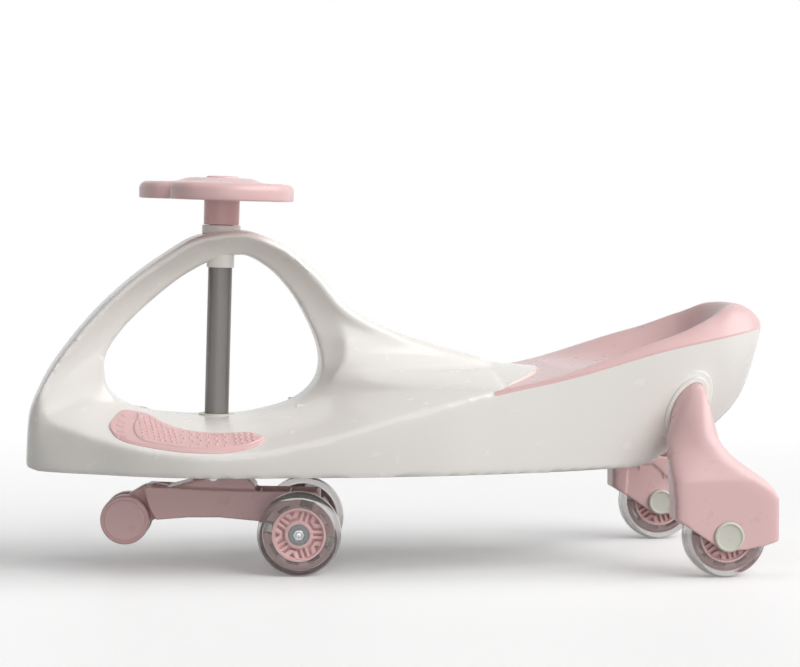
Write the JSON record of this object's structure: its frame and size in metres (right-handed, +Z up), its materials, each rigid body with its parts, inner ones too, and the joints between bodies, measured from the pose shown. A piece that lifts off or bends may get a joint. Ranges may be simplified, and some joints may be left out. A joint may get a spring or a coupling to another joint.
{
  "type": "ride-on wiggle car",
  "caption": "Child's ride-on wiggle car: white moulded body with an arch over a steering column, pink saddle, foot pads, legs and steering wheel, clear wheels.",
  "frame": {"origin": "on the floor, at the middle of the car's length and width", "axes": "+X towards the back of the car, +Y towards the rider's right, +Z up"},
  "size_m": [0.7759, 0.342, 0.4074],
  "materials": {
    "white_plastic": "glossy warm white moulded plastic",
    "pink_plastic": "satin soft pink moulded plastic",
    "pale_plastic": "off-white moulded plastic",
    "grey_tube": "dark grey satin powder coat",
    "steel": "zinc plated",
    "clear_tyre": "clear grey polyurethane"
  },
  "bodies": {
    "car_body": {"body_shell": "white_plastic", "seat": "pink_plastic", "foot_pad_left": "pink_plastic", "foot_pad_right": "pink_plastic", "upper_bush": "white_plastic", "lower_bush": "pale_plastic", "leg_left": "pink_plastic", "leg_right": "pink_plastic", "rear_axle_left": "steel", "rear_axle_right": "steel", "rear_caps_outer": "pale_plastic", "rear_caps_inner": "pale_plastic", "leg_screws": "steel", "seat_screws": "steel"},
    "steering": {"steering_wheel": "pink_plastic", "steering_cap": "pink_plastic", "column_tube": "grey_tube", "neck_screw": "steel", "thrust_washer": "steel", "truck": "pink_plastic", "truck_bolt": "steel", "truck_nut": "steel", "front_axle": "steel", "front_nuts": "steel", "roller_pins": "steel"},
    "left_roller": {"roller_left": "pink_plastic"},
    "right_roller": {"roller_right": "pink_plastic"},
    "front_left_wheel": {"front_left_tyre": "clear_tyre", "front_left_core": "pink_plastic", "front_left_bearings": "steel"},
    "front_right_wheel": {"front_right_tyre": "clear_tyre", "front_right_core": "pink_plastic", "front_right_bearings": "steel"},
    "rear_left_wheel": {"rear_left_tyre": "clear_tyre", "rear_left_core": "pink_plastic", "rear_left_bearings": "steel"},
    "rear_right_wheel": {"rear_right_tyre": "clear_tyre", "rear_right_core": "pink_plastic", "rear_right_bearings": "steel"}
  },
  "joints": [
    {"name": "steering_turn", "type": "hinge", "parent": "car_body", "child": "steering", "pos_m": [-0.1915, 0, 0.164], "axis": [0.0297, 0, 0.9996], "continuous": true},
    {"name": "front_left_spin", "type": "hinge", "parent": "steering", "child": "front_left_wheel", "pos_m": [-0.11353, -0.08376, 0.043], "axis": [0.1305, 0.9914, 0], "continuous": true},
    {"name": "front_right_spin", "type": "hinge", "parent": "steering", "child": "front_right_wheel", "pos_m": [-0.0946, 0.06, 0.043], "axis": [0.1305, 0.9914, 0], "continuous": true},
    {"name": "rear_left_spin", "type": "hinge", "parent": "car_body", "child": "rear_left_wheel", "pos_m": [0.314, -0.147, 0.043], "axis": [0, 1, 0], "continuous": true},
    {"name": "rear_right_spin", "type": "hinge", "parent": "car_body", "child": "rear_right_wheel", "pos_m": [0.314, 0.147, 0.043], "axis": [0, 1, 0], "continuous": true},
    {"name": "roller_left_spin", "type": "hinge", "parent": "steering", "child": "left_roller", "pos_m": [-0.2873, -0.00551, 0.0507], "axis": [0.1305, 0.9914, 0], "continuous": true},
    {"name": "roller_right_spin", "type": "hinge", "parent": "steering", "child": "right_roller", "pos_m": [-0.28271, 0.02939, 0.0507], "axis": [0.1305, 0.9914, 0], "continuous": true}
  ]
}
